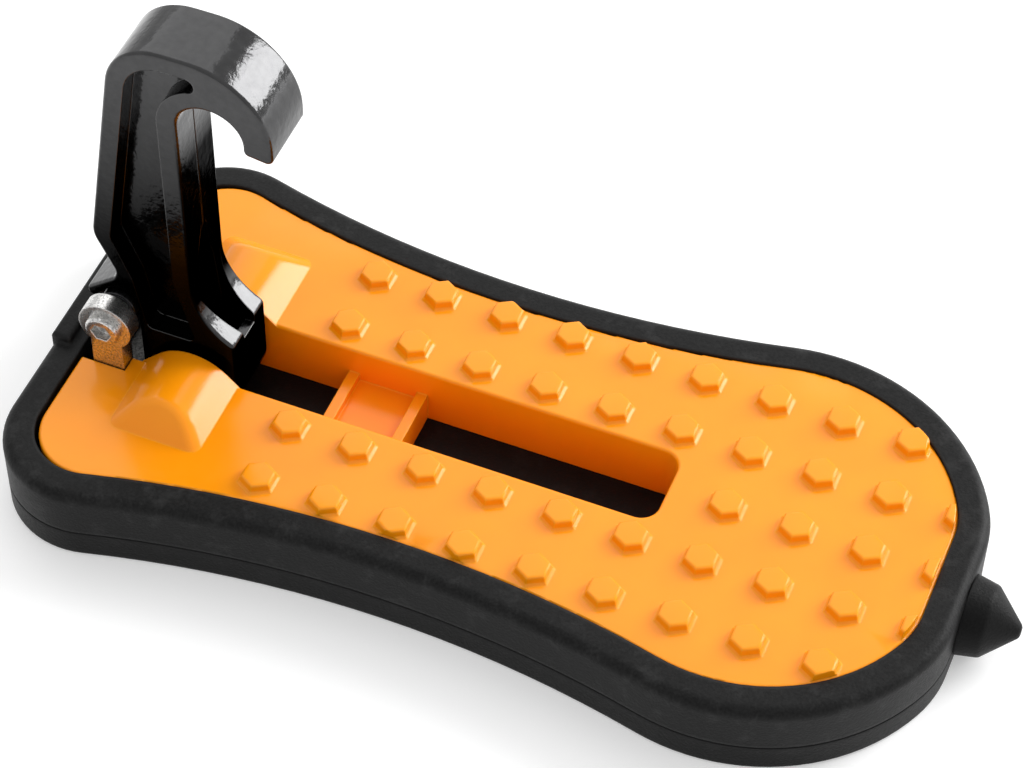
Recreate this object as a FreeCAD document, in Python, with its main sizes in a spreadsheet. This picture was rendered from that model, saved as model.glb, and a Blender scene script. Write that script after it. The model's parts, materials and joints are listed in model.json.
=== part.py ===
import FreeCAD, Part
import math
import os
import re
import Sketcher

# Door latch step: a studded foot plate in a rubber tray, with a hook that folds into the plate.
# Frame: millimetres, +Z up, origin on the underside below the middle of the rubber rim,
# +X towards the hammer tip. "setback" lengths are measured back from the origin, towards -X.

SIZES = {
    # Rubber tray outline: a waisted foot, the same on both sides of the X axis
    "foot_half_length": 97.4,
    "waist_setback": 9.6,
    "waist_half_width": 40.0,
    "waist_radius": 250.0,
    "shoulder_radius": 44.0,
    "front_corner_radius": 27.0,
    "front_corner_deg": 24.0,
    "rear_corner_radius": 18.7,
    "deck_height": 18.0,
    "tray_floor": 3.8,
    "rim_width": 6.6,
    "rim_rise": 0.4,
    "rim_round": 2.4,
    "foot_round": 1.0,
    "parting_height": 6.8,
    "parting_width": 0.5,
    "parting_depth": 0.35,
    "bumper_half_width": 12.6,
    "bumper_thickness": 4.2,
    "bumper_rise": 2.6,
    "bumper_round": 0.9,
    # Foot plate casting
    "deck_skin": 3.2,
    "plate_wall": 3.2,
    "rear_gap": 0.8,
    "deck_round": 0.7,
    "slot_half_width": 9.0,
    "slot_to_front": 63.2,
    "slot_corner": 4.0,
    "slot_wall": 3.2,
    "notch_wall": 7.0,
    "notch_clearance": 0.2,
    "throat_behind_hinge": 10.5,
    "throat_step": 1.5,
    "hinge_to_web": 44.6,
    "web_length": 17.7,
    "web_height": 7.4,
    "web_rib": 2.3,
    "web_recess": 2.0,
    "boss_radius": 4.6,
    # Grip studs
    "stud_pitch": 14.8,
    "hinge_to_studs": 24.4,
    "stud_flats": 6.8,
    "stud_top_flats": 6.0,
    "stud_height": 2.1,
    "stud_round": 0.6,
    "stud_flare": 0.4,
    # Hinge of the hook, with its humps and caps
    "stop_to_hinge": 16.9,
    "hinge_depth": 5.0,
    "hump_radius": 10.7,
    "hump_half_span": 28.6,
    "hump_hip_round": 3.5,
    "pin_radius": 4.0,
    "pin_half_length": 24.0,
    "running_clearance": 0.05,
    "cap_half_length": 9.6,
    "cap_inner": 13.0,
    "cap_outer": 25.0,
    "cap_clearance": 0.2,
    "cap_screw_offset": 6.8,
    "cap_screw_radius": 1.5,
    "cap_screw_length": 13.6,
    "cap_head_radius": 2.6,
    "cap_head_height": 1.8,
    "washer_play": 0.2,
    "washer_radius": 7.4,
    # Hook arm
    "hook_half_width": 7.4,
    "hook_round": 0.8,
    "hinge_to_mouth": 7.4,
    "mouth_rise": 69.6,
    "mouth_radius": 7.0,
    "crown_shift": 4.2,
    "crown_radius": 17.3,
    "crown_rise": 0.8,
    "crown_corner": 13.0,
    "tip_drop": 2.8,
    "tip_slope": 0.9,
    "tip_round": 1.3,
    "knee_overhang": 4.3,
    "knee_rise": 20.0,
    "rear_lean_deg": 8.9,
    "neck_inset": 0.7,
    "neck_rise": 8.9,
    "knee_round": 7.0,
    "neck_round": 3.0,
    "tail_overhang": 7.0,
    "tail_rise": 3.6,
    "tail_round": 1.1,
    "heel_drop": 17.0,
    "heel_round": 5.0,
    "barrel_gap": 0.3,
    "toe_round": 1.8,
    "flare_rise": 28.6,
    "flare_radius": 16.0,
    "pocket_border": 4.1,
    "pocket_depth": 4.6,
    "pocket_rise": 12.4,
    "pocket_round": 1.6,
    "toe_pocket_half_width": 2.4,
    "toe_pocket_rise": 7.5,
    "toe_pocket_lean": 0.6,
    "toe_pocket_spread": 13.4,
    "toe_cheek": 1.7,
    "toe_pocket_sink": 2.2,
    "toe_pocket_reach": 13.0,
    "toe_pocket_tip": 0.8,
    "toe_pocket_knee": 4.4,
    "toe_lip": 2.2,
    "toe_lip_rise": 12.6,
    "shank_line_width": 0.4,
    "shank_line_depth": 0.35,
    # Stop bracket, its bolt and sleeve
    "stop_inset": 13.8,
    "stop_rise": 11.7,
    "seat_clearance": 0.35,
    "sleeve_radius": 3.9,
    "sleeve_groove": 0.5,
    "sleeve_groove_pitch": 1.6,
    "lug_outer": 14.0,
    "lug_thickness": 4.0,
    "lug_radius": 5.8,
    "lug_stem_half": 3.5,
    "stop_bolt_radius": 2.5,
    "bolt_head_radius": 3.7,
    "bolt_head_height": 1.7,
    "bolt_head_round": 0.6,
    "bolt_socket_flats": 4.0,
    "bolt_socket_depth": 2.0,
    "bolt_end": 1.2,
    "stop_nut_flats": 8.0,
    "stop_nut_height": 4.0,
    "stop_washer_radius": 5.0,
    "stop_washer_thickness": 1.0,
    "bracket_screw_height": 12.0,
    "bracket_screw_radius": 2.0,
    "bracket_screw_length": 9.0,
    "bracket_head_radius": 3.5,
    "bracket_head_height": 2.0,
    # Hammer tip with its stud, washer and nut
    "hammer_height": 8.8,
    "hammer_root_radius": 8.4,
    "hammer_base_radius": 7.5,
    "hammer_base_length": 4.8,
    "hammer_cone_length": 6.6,
    "hammer_point_radius": 1.2,
    "hammer_point_round": 1.5,
    "hammer_shoulder_round": 1.6,
    "hammer_stud_radius": 2.5,
    "hammer_stud_length": 16.6,
    "hammer_nut_flats": 8.0,
    "hammer_nut_height": 4.0,
    "hammer_washer_radius": 4.6,
    "hammer_washer_thickness": 1.0,
    # Screws that hold the tray to the plate
    "base_screw_radius": 1.75,
    "base_screw_length": 11.5,
    "base_head_radius": 3.4,
    "base_head_height": 1.6,
    "base_washer_radius": 5.2,
    "base_washer_thickness": 0.8,
    "base_recess": 2.6,
    "base_recess_clearance": 0.3,
    "rear_screw_inset": 13.4,
    "rear_screw_side": 30.0,
    "waist_screw_setback": 8.0,
    "waist_screw_side": 22.0,
    "front_screw_inset": 33.4,
    "front_screw_side": 24.0,
    "screw_clearance": 0.05,
}

# Places that follow from the sizes: each is a sum of sizes and of places above it
PLACES = {
    "hinge_height": "deck_height - hinge_depth",
    "stop_height": "deck_height + stop_rise",
    "mouth_height": "deck_height + mouth_rise",
    "crown_height": "mouth_height + crown_rise",
    "tip_height": "mouth_height - tip_drop",
    "knee_height": "stop_height + knee_rise",
    "neck_height": "stop_height + neck_rise",
    "heel_height": "stop_height - heel_drop",
    "flare_height": "hinge_height + flare_rise",
    "pocket_foot": "hinge_height + pocket_rise",
    "toe_pocket_foot": "hinge_height + toe_pocket_rise",
    "toe_lip_height": "hinge_height + toe_lip_rise",
    "toe_horn_height": "toe_lip_height + toe_pocket_spread",
    "toe_knee_height": "toe_lip_height + toe_pocket_knee",
    "toe_apex_height": "flare_height + toe_pocket_reach",
    "throat_half_width": "slot_half_width + throat_step",
    "washer_thickness": "slot_half_width - hook_half_width - washer_play",
    "web_top": "tray_floor + web_height",
    "barrel_radius": "hinge_height - tray_floor - barrel_gap",
    "stop_setback": "foot_half_length - stop_inset",
    "hinge_setback": "stop_setback - stop_to_hinge",
    "mouth_setback": "hinge_setback - hinge_to_mouth",
    "crown_setback": "mouth_setback + crown_shift",
    "knee_setback": "stop_setback + knee_overhang",
    "neck_setback": "stop_setback - neck_inset",
    "tail_setback": "stop_setback + tail_overhang",
    "throat_setback": "hinge_setback + throat_behind_hinge",
    "web_front_setback": "hinge_setback - hinge_to_web",
    "stud_first_setback": "hinge_setback - hinge_to_studs",
    "slot_front": "foot_half_length - slot_to_front",
    "rear_screw_setback": "foot_half_length - rear_screw_inset",
    "front_screw_forward": "foot_half_length - front_screw_inset",
}

V = FreeCAD.Vector
Z_AXIS = V(0, 0, 1)
TURN_TO_Y = FreeCAD.Rotation(V(1, 0, 0), -90)
TURN_TO_X = FreeCAD.Rotation(V(0, 1, 0), 90)
NO_TURN = FreeCAD.Rotation()

doc = FreeCAD.newDocument("door_latch_step")
sheet = doc.addObject("Spreadsheet::Sheet", "sizes")
for row, (alias, value) in enumerate(SIZES.items(), start=1):
    sheet.set(f"A{row}", alias.replace("_", " "))
    sheet.set(f"B{row}", str(value))
    sheet.setAlias(f"B{row}", alias)
doc.recompute()


def size(name):
    """A size from the sheet, or a place added up from sizes, as a number in millimetres."""
    if name not in PLACES:
        return float(sheet.get(name))
    total = 0.0
    sign = 1
    for word in PLACES[name].split():
        if word in "+-":
            sign = 1 if word == "+" else -1
        else:
            total += sign * size(word)
    return total


def formula(text):
    """Write every name in a sum as a reference to the sheet, with places spelled out as their own sums."""
    def reference(found):
        name = found.group(0)
        return f"({formula(PLACES[name])})" if name in PLACES else "sizes." + name
    return re.sub(r"[a-z][a-z_]+", reference, text)


def bind(thing, prop, text):
    thing.setExpression(prop, formula(text))


# Part primitives whose sizes and places follow the sheet

def place(thing, x, y, z, turn=NO_TURN):
    thing.Placement = FreeCAD.Placement(V(), turn)
    bind(thing, "Placement.Base.x", x)
    bind(thing, "Placement.Base.y", y)
    bind(thing, "Placement.Base.z", z)
    return thing


def cylinder(name, radius, length, x, y, z, turn=NO_TURN):
    thing = doc.addObject("Part::Cylinder", name)
    bind(thing, "Radius", radius)
    bind(thing, "Height", length)
    return place(thing, x, y, z, turn)


def hexagon_prism(name, flats, length, x, y, z, turn=NO_TURN):
    thing = doc.addObject("Part::Prism", name)
    thing.Polygon = 6
    thing.setExpression("Circumradius", f"({formula(flats)}) / (2 * cos(30 deg))")
    bind(thing, "Height", length)
    return place(thing, x, y, z, turn)


def block(name, length, width, height, x, y, z):
    thing = doc.addObject("Part::Box", name)
    bind(thing, "Length", length)
    bind(thing, "Width", width)
    bind(thing, "Height", height)
    return place(thing, x, y, z)


def cut(name, base, tool):
    thing = doc.addObject("Part::Cut", name)
    thing.Base = base
    thing.Tool = tool
    return thing


def fuse(name, pieces):
    thing = doc.addObject("Part::MultiFuse", name)
    thing.Shapes = pieces
    return thing


def group(name, pieces):
    """Identical fasteners in one node, each a solid of its own."""
    thing = doc.addObject("Part::Compound", name)
    thing.Links = pieces
    return thing


# Sketches and features of a body

def attach(sketch, body, role, height):
    plane = [item for item in body.Origin.OriginFeatures if item.Role == role][0]
    sketch.AttachmentSupport = [(plane, "")]
    sketch.MapMode = "FlatFace"
    if height:
        bind(sketch, "AttachmentOffset.Base.z", height)


def drawn_sketch(body, name, role, edges, height=""):
    """A sketch of lines and arcs worked out from the sizes, each held where it was drawn."""
    sketch = body.newObject("Sketcher::SketchObject", name)
    attach(sketch, body, role, height)
    for edge in edges:
        index = sketch.addGeometry(edge, False)
        sketch.addConstraint(Sketcher.Constraint("Block", index))
    return sketch


def box_sketch(body, name, role, boxes, height=""):
    """Rectangles given by their low and high sides, each side bound to the sheet."""
    sketch = body.newObject("Sketcher::SketchObject", name)
    attach(sketch, body, role, height)
    corners = [V(0, 0, 0), V(1, 0, 0), V(1, 1, 0), V(0, 1, 0)]
    for x_low, x_high, y_low, y_high in boxes:
        lines = [Part.LineSegment(corners[i], corners[(i + 1) % 4]) for i in range(4)]
        first = sketch.addGeometry(lines, False)[0]
        for i in range(4):
            sketch.addConstraint(Sketcher.Constraint("Coincident", first + i, 2, first + (i + 1) % 4, 1))
        for i, kind in enumerate(["Horizontal", "Vertical", "Horizontal", "Vertical"]):
            sketch.addConstraint(Sketcher.Constraint(kind, first + i))
        sides = [("DistanceX", first, x_low), ("DistanceX", first + 2, x_high),
                 ("DistanceY", first, y_low), ("DistanceY", first + 2, y_high)]
        for number, (kind, line, text) in enumerate(sides):
            datum = sketch.addConstraint(Sketcher.Constraint(kind, line, 1, float(number > 0)))
            bind(sketch, f"Constraints[{datum}]", text)
    return sketch


def circle_sketch(body, name, role, circles, height=""):
    """Circles given by centre and radius, all bound to the sheet."""
    sketch = body.newObject("Sketcher::SketchObject", name)
    attach(sketch, body, role, height)
    for x, y, radius in circles:
        index = sketch.addGeometry(Part.Circle(V(1, 1, 0), Z_AXIS, 1), False)
        for kind, text in [("DistanceX", x), ("DistanceY", y)]:
            datum = sketch.addConstraint(Sketcher.Constraint(kind, index, 3, 1.0))
            bind(sketch, f"Constraints[{datum}]", text)
        datum = sketch.addConstraint(Sketcher.Constraint("Radius", index, 1.0))
        bind(sketch, f"Constraints[{datum}]", radius)
    return sketch


def pad(body, sketch, length, symmetric=False):
    feature = body.newObject("PartDesign::Pad", sketch.Name + "_pad")
    feature.Profile = sketch
    feature.SideType = "Symmetric" if symmetric else "One side"
    bind(feature, "Length", length)
    return feature


def pocket(body, sketch, length, symmetric=False, upward=False):
    feature = body.newObject("PartDesign::Pocket", sketch.Name + "_pocket")
    feature.Profile = sketch
    feature.SideType = "Symmetric" if symmetric else "One side"
    feature.Reversed = upward
    bind(feature, "Length", length)
    doc.recompute()
    if not feature.Shape.Volume < feature.BaseFeature.Shape.Volume:
        raise RuntimeError(feature.Name + " removes nothing")
    return feature


def fillet(body, name, base, radius, wanted):
    """Round the edges of the base feature that the test picks."""
    doc.recompute()
    names = [f"Edge{i}" for i, edge in enumerate(base.Shape.Edges, start=1) if wanted(edge)]
    feature = body.newObject("PartDesign::Fillet", name)
    feature.Base = (base, names)
    bind(feature, "Radius", radius)
    return feature


def lies_at_height(edge, height):
    box = edge.BoundBox
    return abs(box.ZMin - height) < 1e-4 and abs(box.ZMax - height) < 1e-4


# Outlines

def arc(centre, radius, start, end):
    """Counter-clockwise arc between two angles in radians."""
    return Part.ArcOfCircle(Part.Circle(centre, Z_AXIS, radius), start, end)


def angle_to(origin, target):
    return math.atan2(target.y - origin.y, target.x - origin.x)


def on_circle(centre, radius, angle):
    return V(centre.x + radius * math.cos(angle), centre.y + radius * math.sin(angle), 0)


def line_chain(points):
    return [Part.LineSegment(a, b) for a, b in zip(points, points[1:])]


def rounded_chain(points, radii):
    """Straight lines through the points, with an arc of its own radius at each point between the ends."""
    edges = []
    start = points[0]
    for before, point, after, radius in zip(points, points[1:], points[2:], radii):
        come = (point - before).normalize()
        leave = (after - point).normalize()
        turn = come.getAngle(leave)
        reach = radius * math.tan(turn / 2)
        inward = (leave - come).normalize()
        first = point - come * reach
        last = point + leave * reach
        middle = point + inward * (radius / math.cos(turn / 2) - radius)
        edges.append(Part.LineSegment(start, first))
        edges.append(Part.Arc(first, middle, last))
        start = last
    edges.append(Part.LineSegment(start, points[-1]))
    return edges


def foot_outline(inset, rear_gap=0):
    """The waisted outline, moved inwards by inset, and at the rear end by rear_gap as well.

    Each end is flat. On each side follow the front corner, the shoulder, the waist and the rear corner.
    """
    front = size("foot_half_length")
    corner_radius = size("front_corner_radius")
    corner_turn = math.radians(size("front_corner_deg"))
    corner_step = size("shoulder_radius") - corner_radius
    waist_x = -size("waist_setback")
    waist_y = size("waist_half_width") + size("waist_radius")

    def corner_centre(x, radius):
        reach = size("waist_radius") + radius
        return V(x, waist_y - math.sqrt(reach ** 2 - (x - waist_x) ** 2), 0)

    shoulder = corner_centre(front - corner_radius - corner_step * math.cos(corner_turn),
                             size("shoulder_radius"))
    corner = on_circle(shoulder, corner_step, corner_turn)
    rear = corner_centre(size("rear_corner_radius") - front + rear_gap, size("rear_corner_radius"))
    waist = V(waist_x, waist_y, 0)
    shoulder_end = angle_to(shoulder, waist)
    rear_start = angle_to(rear, waist)
    waist_start = angle_to(waist, rear)
    waist_end = angle_to(waist, shoulder)
    arcs = [
        (corner, corner_radius - inset, 0, corner_turn),
        (shoulder, size("shoulder_radius") - inset, corner_turn, shoulder_end),
        (waist, size("waist_radius") + inset, waist_start, waist_end),
        (rear, size("rear_corner_radius") - inset, rear_start, math.pi),
    ]
    edges = []
    for centre, radius, start, end in arcs:
        edges.append(arc(centre, radius, start, end))
        edges.append(arc(V(centre.x, -centre.y, 0), radius, -end, -start))
    for x, y in [(front - inset, corner.y), (inset - front + rear_gap, rear.y)]:
        edges.append(Part.LineSegment(V(x, -y, 0), V(x, y, 0)))
    return edges


def slot_outline():
    """The slot in the plate: open behind, stepped at the throat, with round front corners."""
    half = size("slot_half_width")
    front = size("slot_front")
    corner = size("slot_corner")
    notch = -(size("stop_setback") - size("lug_stem_half") - size("notch_clearance"))
    notch_half = size("lug_outer") + size("notch_clearance")
    throat = -size("throat_setback")
    throat_half = size("throat_half_width")
    behind = -size("foot_half_length")
    side = [(behind, notch_half), (notch, notch_half), (notch, throat_half), (throat, throat_half),
            (throat, half), (front - corner, half)]
    far = [V(x, y, 0) for x, y in side]
    near = [V(x, -y, 0) for x, y in side]
    edges = line_chain(far) + line_chain(near)
    edges.append(Part.LineSegment(near[0], far[0]))
    edges.append(arc(V(front - corner, half - corner, 0), corner, 0, math.pi / 2))
    edges.append(arc(V(front - corner, corner - half, 0), corner, -math.pi / 2, 0))
    edges.append(Part.LineSegment(V(front, corner - half, 0), V(front, half - corner, 0)))
    return edges


def hook_profile():
    """The hook's side outline in X and Z: every line runs smoothly into the next."""
    mouth = V(-size("mouth_setback"), size("mouth_height"), 0)
    mouth_radius = size("mouth_radius")
    crown = V(-size("crown_setback"), size("crown_height"), 0)
    crown_radius = size("crown_radius")
    front_x = mouth.x - mouth_radius
    tip_inner = mouth.x + mouth_radius
    tip_outer = crown.x + crown_radius
    tip = size("tip_height")
    corner, rear_angle, knee = rear_corner()

    # Heel that closes over the stop sleeve, and the barrel around the hinge
    stop = V(-size("stop_setback"), size("stop_height"), 0)
    seat_radius = size("sleeve_radius") + size("seat_clearance")
    seat_angle = math.radians(135)
    seat_start = on_circle(stop, seat_radius, seat_angle)
    seat_end = V(stop.x + seat_radius, stop.y, 0)
    tail_x = -size("tail_setback")
    tail_foot = seat_start.y - (seat_start.x - tail_x)
    hinge = V(-size("hinge_setback"), size("hinge_height"), 0)
    barrel = size("barrel_radius")
    heel = V(seat_end.x, size("heel_height"), 0)
    heel_reach = math.hypot(heel.x - hinge.x, heel.y - hinge.y)
    barrel_start = angle_to(hinge, heel) + math.acos(barrel / heel_reach)

    # Toe that flares forward from the shank
    flare_radius = size("flare_radius")
    flare = V(front_x + flare_radius, size("flare_height"), 0)
    toe_round = size("toe_round")
    toe_x = hinge.x + barrel - toe_round
    toe_drop = math.sqrt((flare_radius + toe_round) ** 2 - (toe_x - flare.x) ** 2)
    toe = V(toe_x, flare.y - toe_drop, 0)

    edges = [
        arc(mouth, mouth_radius, 0, math.pi),
        arc(crown, crown_radius, 0, math.pi / 2),
        arc(corner, size("crown_corner"), math.pi / 2, rear_angle),
        arc(stop, seat_radius, 0, seat_angle),
        arc(hinge, barrel, barrel_start, 2 * math.pi),
        arc(toe, toe_round, 0, angle_to(toe, flare)),
        arc(flare, flare_radius, math.pi, angle_to(flare, toe) + 2 * math.pi),
    ]
    edges += line_chain([V(front_x, flare.y, 0), V(front_x, mouth.y, 0)])
    edges += line_chain([V(crown.x, crown.y + crown_radius, 0), V(corner.x, crown.y + crown_radius, 0)])
    edges += line_chain([V(hinge.x + barrel, hinge.y, 0), V(hinge.x + barrel, toe.y, 0)])
    edges += rounded_chain([V(tip_inner, mouth.y, 0), V(tip_inner, tip + size("tip_slope"), 0),
                            V(tip_outer, tip, 0), V(tip_outer, crown.y, 0)],
                           [size("tip_round"), size("tip_round")])
    edges += rounded_chain([on_circle(corner, size("crown_corner"), rear_angle), knee,
                            V(-size("neck_setback"), size("neck_height"), 0),
                            V(tail_x, tail_foot + size("tail_rise"), 0), V(tail_x, tail_foot, 0), seat_start],
                           [size("knee_round"), size("neck_round"), size("tail_round"), size("tail_round")])
    edges += rounded_chain([seat_end, heel, on_circle(hinge, barrel, barrel_start)], [size("heel_round")])
    return edges


def rear_corner():
    """Centre of the arc between the flat top and the leaning rear edge, where it ends, and the knee below."""
    lean = math.radians(size("rear_lean_deg"))
    knee = V(-size("knee_setback"), size("knee_height"), 0)
    centre_y = size("crown_height") + size("crown_radius") - size("crown_corner")
    rear_x = knee.x + (centre_y - knee.y) * math.tan(lean)
    centre = V(rear_x + size("crown_corner") / math.cos(lean), centre_y, 0)
    return centre, math.pi - lean, knee


def hook_hollow():
    """Outline of a side pocket: the hook's own outline moved in by the border, closed off at the neck."""
    border = size("pocket_border")
    mouth = V(-size("mouth_setback"), size("mouth_height"), 0)
    shank_x = mouth.x - size("mouth_radius") - border
    inner = size("mouth_radius") + border
    corner, rear_angle, knee = rear_corner()
    corner_radius = size("crown_corner") - border
    top = size("crown_height") + size("crown_radius") - border
    end_x = -size("crown_setback")
    inner_end = math.acos((end_x - mouth.x) / inner)
    foot = size("pocket_foot")
    left_x = -size("stop_setback") + size("sleeve_radius") + size("seat_clearance") + border / 2
    tight = size("pocket_round")
    wide = 3 * tight
    edges = [
        arc(mouth, inner, inner_end, math.pi),
        arc(corner, corner_radius, math.pi / 2, rear_angle),
    ]
    low_end = on_circle(mouth, inner, inner_end)
    high_end = V(end_x, top, 0)
    bulge = V(end_x + (top - low_end.y) / 2, (top + low_end.y) / 2, 0)
    edges.append(Part.Arc(low_end, bulge, high_end))
    edges.append(Part.LineSegment(high_end, V(corner.x, top, 0)))
    edges += rounded_chain([on_circle(corner, corner_radius, rear_angle),
                            V(knee.x + border / math.sin(rear_angle - math.pi / 2), knee.y, 0),
                            V(-size("neck_setback") + 0.8 * border, size("neck_height"), 0),
                            V(left_x, foot, 0), V(mouth.x - size("mouth_radius"), foot, 0),
                            V(shank_x, size("flare_height"), 0), V(shank_x, mouth.y, 0)],
                           [wide, wide, tight, tight, wide])
    return edges


# Rubber tray: floor, rim and rear bumper in one moulding

def tray_screws():
    """Places of the six base screws, as size names."""
    return [(x, sign + y)
            for x, y in [("-rear_screw_setback", "rear_screw_side"),
                         ("-waist_screw_setback", "waist_screw_side"),
                         ("front_screw_forward", "front_screw_side")]
            for sign in ("", "-")]


def make_rubber_base():
    body = doc.addObject("PartDesign::Body", "rubber_base")
    outer = drawn_sketch(body, "tray_outline", "XY_Plane", foot_outline(0))
    solid = pad(body, outer, "deck_height + rim_rise")
    rim_top = size("deck_height") + size("rim_rise")
    top_round = fillet(body, "rim_top", solid, "rim_round", lambda edge: lies_at_height(edge, rim_top))
    foot_round = fillet(body, "rim_foot", top_round, "foot_round", lambda edge: lies_at_height(edge, 0))
    bumper = box_sketch(body, "bumper", "XY_Plane",
                        [("-foot_half_length", "-foot_half_length + bumper_thickness",
                          "-bumper_half_width", "bumper_half_width")], "tray_floor")
    raised = pad(body, bumper, "deck_height + bumper_rise - tray_floor")
    top = size("deck_height") + size("bumper_rise")
    fillet(body, "bumper_top", raised, "bumper_round", lambda edge: lies_at_height(edge, top))
    well = drawn_sketch(body, "tray_well", "XY_Plane", foot_outline(size("rim_width")), "tray_floor")
    pocket(body, well, "deck_height + bumper_rise", upward=True)
    line = foot_outline(size("parting_depth")) + foot_outline(-1.0)
    groove = drawn_sketch(body, "parting_line", "XY_Plane", line, "parting_height")
    pocket(body, groove, "parting_width", upward=True)
    holes = circle_sketch(body, "base_holes", "XY_Plane",
                          [(x, y, "base_screw_radius + base_recess_clearance") for x, y in tray_screws()])
    pocket(body, holes, "tray_floor", upward=True)
    seats = circle_sketch(body, "base_recesses", "XY_Plane",
                          [(x, y, "base_washer_radius + base_recess_clearance") for x, y in tray_screws()])
    pocket(body, seats, "base_recess", upward=True)
    front_hole = circle_sketch(body, "hammer_hole", "YZ_Plane",
                               [("0", "hammer_height", "hammer_stud_radius + screw_clearance")],
                               "foot_half_length - rim_width")
    pocket(body, front_hole, "rim_width", upward=True)
    return body


# Foot plate: one casting with deck, skirt, slot walls, cross web and hinge humps

def make_plate_casting():
    body = doc.addObject("PartDesign::Body", "plate_casting")
    inset = size("rim_width")
    gap = size("rear_gap")
    outer = drawn_sketch(body, "deck_outline", "XY_Plane", foot_outline(inset, gap), "tray_floor")
    solid = pad(body, outer, "deck_height - tray_floor")
    fillet(body, "deck_edge", solid, "deck_round",
           lambda edge: lies_at_height(edge, size("deck_height")))
    hollow = foot_outline(inset + size("plate_wall"), gap)
    inside = drawn_sketch(body, "underside", "XY_Plane", hollow, "tray_floor")
    pocket(body, inside, "deck_height - deck_skin - tray_floor", upward=True)
    walls = box_sketch(body, "slot_walls", "XY_Plane",
                       [("-foot_half_length + rim_width + rear_gap + plate_wall / 2", "slot_front + slot_wall",
                         "-slot_half_width - slot_wall", "slot_half_width + slot_wall")], "tray_floor")
    pad(body, walls, "deck_height - deck_skin / 2 - tray_floor")
    cheeks = box_sketch(body, "notch_cheeks", "XY_Plane",
                        [("-foot_half_length + rim_width + rear_gap + plate_wall / 2",
                          "-hinge_setback + cap_half_length + plate_wall",
                          "-lug_outer - notch_wall", "lug_outer + notch_wall")], "tray_floor")
    pad(body, cheeks, "deck_height - deck_skin / 2 - tray_floor")
    seats = box_sketch(body, "hinge_blocks", "XY_Plane",
                       [("-hinge_setback - cap_half_length - plate_wall",
                         "-hinge_setback + cap_half_length + plate_wall",
                         "-cap_outer - plate_wall", "cap_outer + plate_wall")], "tray_floor")
    pad(body, seats, "deck_height - deck_skin / 2 - tray_floor")
    bosses = circle_sketch(body, "screw_bosses", "XY_Plane",
                           [(x, y, "boss_radius") for x, y in tray_screws()], "tray_floor")
    pad(body, bosses, "deck_height - deck_skin / 2 - tray_floor")
    slot = drawn_sketch(body, "slot", "XY_Plane", slot_outline(), "tray_floor")
    opened = pocket(body, slot, "deck_height", upward=True)
    inside_front = size("slot_front") + 1

    def slot_rim(edge):
        box = edge.BoundBox
        within = abs(edge.CenterOfMass.y) < size("lug_outer") + 1 and box.XMax < inside_front
        return within and box.XMin > -size("throat_setback") - 1 and lies_at_height(edge, size("deck_height"))

    fillet(body, "slot_edge", opened, "deck_round", slot_rim)
    web = box_sketch(body, "web", "XY_Plane",
                     [("-web_front_setback - web_length", "-web_front_setback",
                       "-slot_half_width - slot_wall / 2", "slot_half_width + slot_wall / 2")], "tray_floor")
    pad(body, web, "web_top - tray_floor")
    dish = box_sketch(body, "web_dish", "XY_Plane",
                      [("-web_front_setback - web_length + web_rib", "-web_front_setback - web_rib",
                        "-slot_half_width", "slot_half_width")], "web_top - web_recess")
    pocket(body, dish, "web_recess", upward=True)
    threads = circle_sketch(body, "base_threads", "XY_Plane",
                            [(x, y, "base_screw_radius + screw_clearance") for x, y in tray_screws()],
                            "tray_floor")
    pocket(body, threads, "base_recess + base_screw_length - tray_floor", upward=True)
    return body


def make_humps():
    """The humps over the hinge pin: a round ridge with 45 degree flanks and ends, without the slot."""
    deck = size("deck_height")
    span = size("hump_half_span")
    lean = math.radians(45)
    hinge = V(-size("hinge_setback"), size("hinge_height"), 0)
    radius = size("hump_radius")
    root = deck - size("deck_skin") / 2
    reach = hinge.y + radius / math.cos(lean) - root
    low = [V(hinge.x + side * reach, root, 0) for side in (-1, 1)]
    high = [on_circle(hinge, radius, math.pi / 2 - side * lean) for side in (-1, 1)]
    section = line_chain([high[0], low[0], low[1], high[1]])
    section.append(Part.Arc(high[1], on_circle(hinge, radius, math.pi / 2), high[0]))
    along = Part.Face(Part.Wire([edge.toShape() for edge in section]))
    along.Placement = FreeCAD.Placement(V(0, 2 * span, 0), FreeCAD.Rotation(V(1, 0, 0), 90))
    foot = span + deck - root
    ends = [V(0, -foot, root), V(0, foot, root), V(0, foot - 2 * radius, root + 2 * radius),
            V(0, 2 * radius - foot, root + 2 * radius)]
    across = Part.Face(Part.makePolygon(ends + ends[:1]))
    across.translate(V(hinge.x - 2 * reach, 0, 0))
    ridge = along.extrude(V(0, -4 * span, 0)).common(across.extrude(V(4 * reach, 0, 0)))

    def is_hip(edge):
        middle = edge.CenterOfMass
        on_end = all(abs(abs(corner.Y) + corner.Z - foot - root) < 1e-4 for corner in edge.Vertexes)
        return on_end and middle.z > root + 1e-4

    rounded = ridge.makeFillet(size("hump_hip_round"), [edge for edge in ridge.Edges if is_hip(edge)])
    half = size("slot_half_width")
    middle = Part.makeBox(4 * reach, 2 * half, 4 * radius, V(hinge.x - 2 * reach, -half, 0))
    humps = doc.addObject("Part::Feature", "humps")
    humps.Shape = rounded.cut(middle)
    return humps


def stud_places():
    """Centres of the studs: two outer rows, two inner rows, and a short row in front of the slot."""
    pitch = size("stud_pitch")
    first = -size("stud_first_setback")
    rows = [(-2, range(9)), (-1, range(10)), (0, range(6, 10)), (1, range(10)), (2, range(9))]
    return [V(first + column * pitch, row * pitch, 0) for row, columns in rows for column in columns]


def hexagon(flats, z):
    """Corners of a hexagon with two flats facing along X."""
    reach = flats / (2 * math.cos(math.radians(30)))
    return [V(reach * math.sin(k * math.pi / 3), reach * math.cos(k * math.pi / 3), z) for k in range(6)]


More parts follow.
